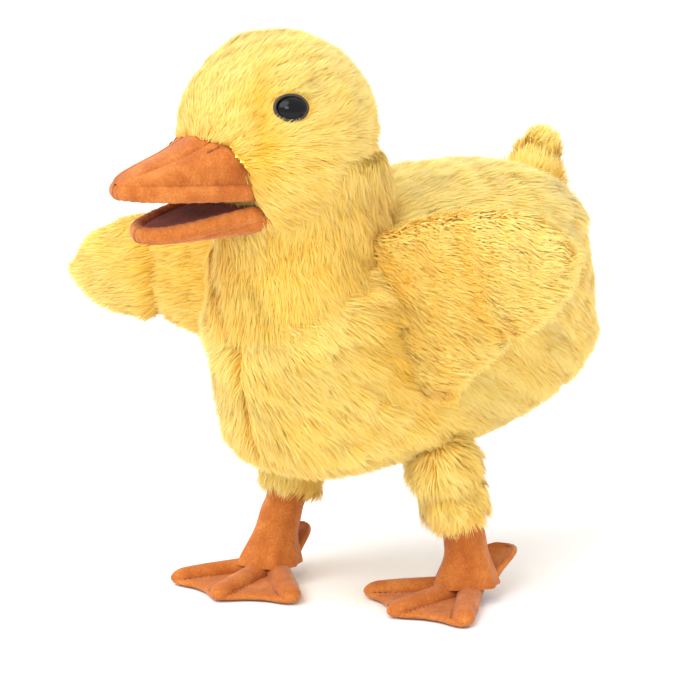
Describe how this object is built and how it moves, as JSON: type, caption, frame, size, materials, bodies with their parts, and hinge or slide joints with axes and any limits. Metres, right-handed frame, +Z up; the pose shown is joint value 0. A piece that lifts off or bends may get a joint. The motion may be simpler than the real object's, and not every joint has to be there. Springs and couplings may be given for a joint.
{
  "type": "moving mouth hand puppet",
  "caption": "Plush duckling hand puppet with an opening beak, turning and nodding head, swinging wings, hanging legs with webbed feet, and a hand opening below.",
  "frame": {"origin": "on the ground, under the middle of the whole puppet", "axes": "+Z up; the duck faces -Y, its left wing is on +X"},
  "size_m": [0.2893, 0.2555, 0.2515],
  "materials": {
    "plush": "matte",
    "orange_suede": "matte",
    "mouth_velour": "matte",
    "lining_cloth": "matte",
    "stuffing": "matte",
    "stiffener": "matte",
    "eye": "gloss",
    "washer": "matte",
    "thread": "matte"
  },
  "bodies": {
    "body": {"side_panel_left": "plush", "side_panel_right": "plush", "breast_belly_panel": "plush", "body_stuffing": "stuffing", "hand_sleeve_lining": "lining_cloth", "opening_hem": "lining_cloth", "shoulder_roll_left": "plush", "shoulder_roll_right": "plush", "care_label": "lining_cloth"},
    "neck": {"neck_skin": "plush", "neck_lining": "lining_cloth"},
    "head": {"head_panel_left": "plush", "head_panel_right": "plush", "crown_gusset": "plush", "head_stuffing": "stuffing", "head_lining": "lining_cloth", "eye_left": "eye", "eye_right": "eye", "eye_washers": "washer", "mouth_fold": "mouth_velour"},
    "upper_beak": {"upper_beak_left": "orange_suede", "upper_beak_right": "orange_suede", "upper_beak_strip": "orange_suede", "upper_beak_rim": "orange_suede", "upper_palate": "mouth_velour", "upper_board": "stiffener", "finger_pocket": "lining_cloth", "nostril_stitches": "thread"},
    "jaw": {"lower_beak_shell": "orange_suede", "lower_beak_rim": "orange_suede", "lower_palate": "mouth_velour", "lower_board": "stiffener", "thumb_pocket": "lining_cloth"},
    "tail": {"tail_skin": "plush", "tail_stuffing": "stuffing"},
    "wing_left": {"wing_left": "plush", "wing_left_stuffing": "stuffing"},
    "wing_left_tip": {"wing_tip_left": "plush", "wing_tip_left_stuffing": "stuffing"},
    "leg_left": {"thigh_cuff_left": "plush", "leg_tube_left": "orange_suede", "leg_stuffing_left": "stuffing"},
    "foot_left": {"foot_top_left": "orange_suede", "foot_sole_left": "orange_suede", "toe_stuffing_left": "stuffing"},
    "wing_right": {"wing_right": "plush", "wing_right_stuffing": "stuffing"},
    "wing_right_tip": {"wing_tip_right": "plush", "wing_tip_right_stuffing": "stuffing"},
    "leg_right": {"thigh_cuff_right": "plush", "leg_tube_right": "orange_suede", "leg_stuffing_right": "stuffing"},
    "foot_right": {"foot_top_right": "orange_suede", "foot_sole_right": "orange_suede", "toe_stuffing_right": "stuffing"}
  },
  "joints": [
    {"name": "head_turn", "type": "hinge", "parent": "body", "child": "neck", "pos_m": [0, -0.031, 0.178], "axis": [0, 0, 1], "range_deg": [-35, 35]},
    {"name": "head_nod", "type": "hinge", "parent": "neck", "child": "head", "pos_m": [0, -0.031, 0.178], "axis": [0.9903, -0.1392, 0], "range_deg": [-12, 12]},
    {"name": "upper_beak_lift", "type": "hinge", "parent": "head", "child": "upper_beak", "pos_m": [-0.00487, -0.06566, 0.185], "axis": [0.9903, -0.1392, 0], "range_deg": [-12, 2.5]},
    {"name": "jaw_drop", "type": "hinge", "parent": "head", "child": "jaw", "pos_m": [-0.00487, -0.06566, 0.185], "axis": [0.9903, -0.1392, 0], "range_deg": [-9.5, 24]},
    {"name": "wing_left_swing", "type": "hinge", "parent": "body", "child": "wing_left", "pos_m": [0.04878, -0.01676, 0.13671], "axis": [-0.2594, -0.2079, 0.9431], "range_deg": [-12, 22]},
    {"name": "wing_left_fold", "type": "hinge", "parent": "wing_left", "child": "wing_left_tip", "pos_m": [0.09677, -0.01796, 0.16024], "axis": [-0.2594, -0.2079, 0.9431], "range_deg": [0, 32]},
    {"name": "hip_left", "type": "hinge", "parent": "body", "child": "leg_left", "pos_m": [0.043, 0.009, 0.064], "axis": [1, 0, 0], "range_deg": [-48, 8]},
    {"name": "ankle_left", "type": "hinge", "parent": "leg_left", "child": "foot_left", "pos_m": [0.043, 0.02799, 0.017], "axis": [1, 0, 0], "range_deg": [-8, 38]},
    {"name": "wing_right_swing", "type": "hinge", "parent": "body", "child": "wing_right", "pos_m": [-0.04779, -0.01676, 0.13645], "axis": [-0.2264, 0.2079, -0.9516], "range_deg": [-12, 22]},
    {"name": "wing_right_fold", "type": "hinge", "parent": "wing_right", "child": "wing_right_tip", "pos_m": [-0.092, -0.02218, 0.15629], "axis": [-0.2264, 0.2079, -0.9516], "range_deg": [0, 32]},
    {"name": "hip_right", "type": "hinge", "parent": "body", "child": "leg_right", "pos_m": [-0.043, 0.009, 0.064], "axis": [1, 0, 0], "range_deg": [-8, 48]},
    {"name": "ankle_right", "type": "hinge", "parent": "leg_right", "child": "foot_right", "pos_m": [-0.043, -0.00999, 0.017], "axis": [1, 0, 0], "range_deg": [-38, 8]},
    {"name": "tail_tilt", "type": "hinge", "parent": "body", "child": "tail", "pos_m": [0, 0.113, 0.171], "axis": [1, 0, 0], "range_deg": [-18, 18], "stiffness_Nm_per_rad": 0.05}
  ]
}
